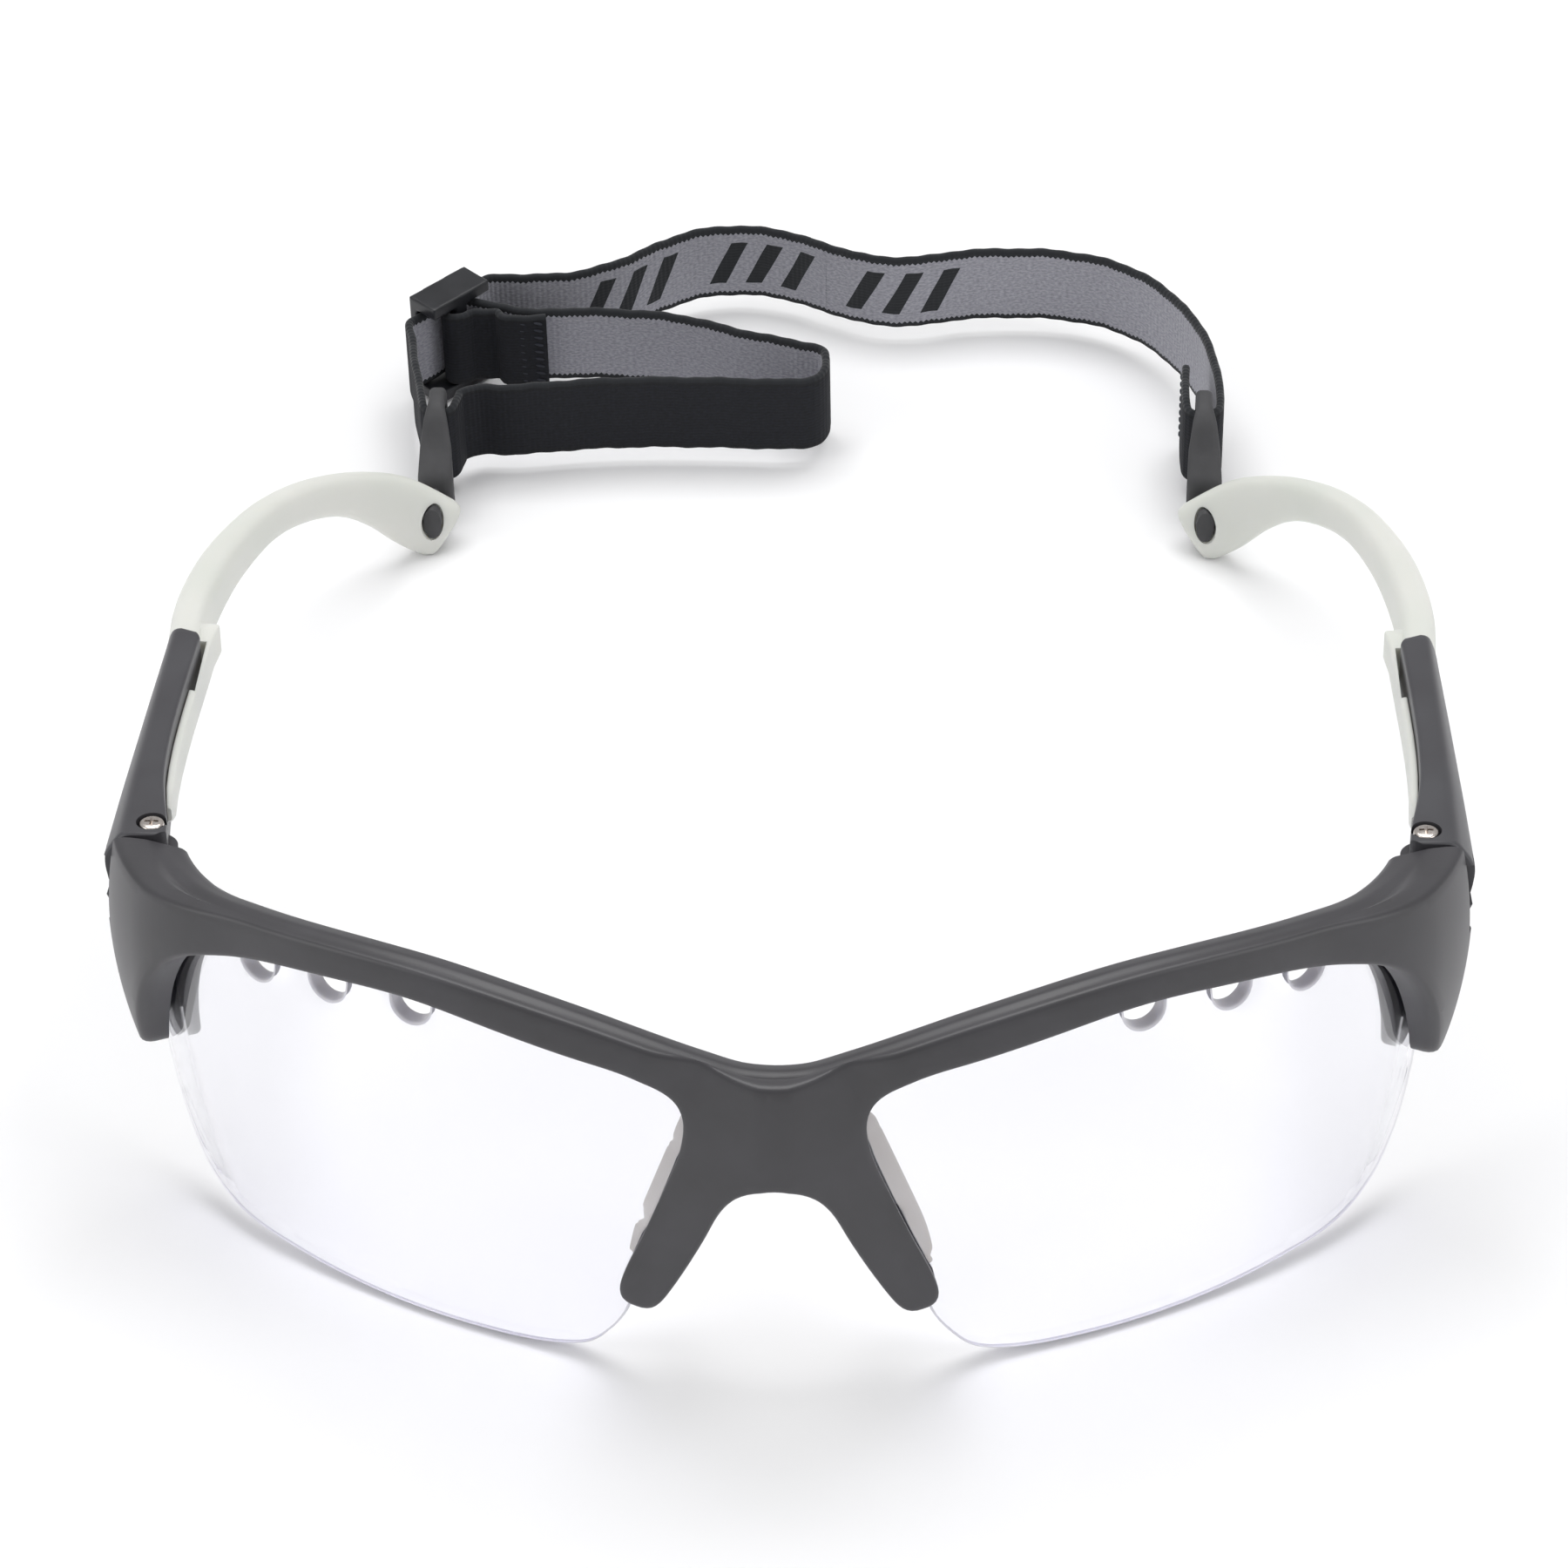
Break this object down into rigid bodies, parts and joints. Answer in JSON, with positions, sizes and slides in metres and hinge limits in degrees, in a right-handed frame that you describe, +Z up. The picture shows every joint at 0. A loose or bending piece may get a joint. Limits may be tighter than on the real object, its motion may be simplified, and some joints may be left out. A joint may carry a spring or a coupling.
{
  "type": "sports protective goggles",
  "caption": "Half-rim sports protective goggles with clear wrap lenses, folding temples with soft white tips, and an elastic head strap with a slider.",
  "frame": {"origin": "centre of the whole object's box in plan, on the table it stands on", "axes": "+X to the viewer's right when the lenses face the viewer, +Y from the lenses back to the strap, +Z up"},
  "size_m": [0.1466, 0.2008, 0.0492],
  "materials": {
    "frame": "moulded matt dark grey",
    "temple": "moulded matt dark grey",
    "lens": "clear moulded polycarbonate",
    "soft_tip": "white translucent elastomer",
    "nose_pad": "pale grey elastomer",
    "screw": "nickel-plated steel",
    "nut": "turned brass",
    "connector": "moulded dark grey rubber",
    "strap": "knitted elastic, grey inside and navy outside",
    "slider": "moulded black acetal"
  },
  "bodies": {
    "front": {"front_frame": "frame", "lens_left": "lens", "lens_right": "lens", "nose_pad_left": "nose_pad", "nose_pad_right": "nose_pad", "strap_back_right": "strap", "strap_back_left": "strap", "strap_loop_front": "strap", "strap_loop_return": "strap"},
    "temple_left": {"temple_left": "temple", "temple_tip_left": "soft_tip", "hinge_screw_left": "screw", "hinge_nut_left": "nut", "strap_connector_left": "connector"},
    "temple_right": {"temple_right": "temple", "temple_tip_right": "soft_tip", "hinge_screw_right": "screw", "hinge_nut_right": "nut", "strap_connector_right": "connector"},
    "slider": {"strap_slider": "slider"}
  },
  "joints": [
    {"name": "temple_left_fold", "type": "hinge", "parent": "front", "child": "temple_left", "pos_m": [-0.0678, -0.05872, 0.04274], "axis": [0, -0.1271, -0.9919], "range_deg": [0, 85], "deforming": ["strap_back_left", "strap_loop_front", "strap_loop_return"]},
    {"name": "temple_right_fold", "type": "hinge", "parent": "front", "child": "temple_right", "pos_m": [0.0678, -0.05872, 0.04274], "axis": [0, 0.1271, 0.9919], "range_deg": [0, 72], "deforming": ["strap_back_right"]},
    {"name": "slider_slide", "type": "slide", "parent": "front", "child": "slider", "axis": [-0.6801, -0.7331, 0], "range_m": [-0.004, 0.002], "deforming": ["strap_loop_return", "strap_back_left"]}
  ]
}
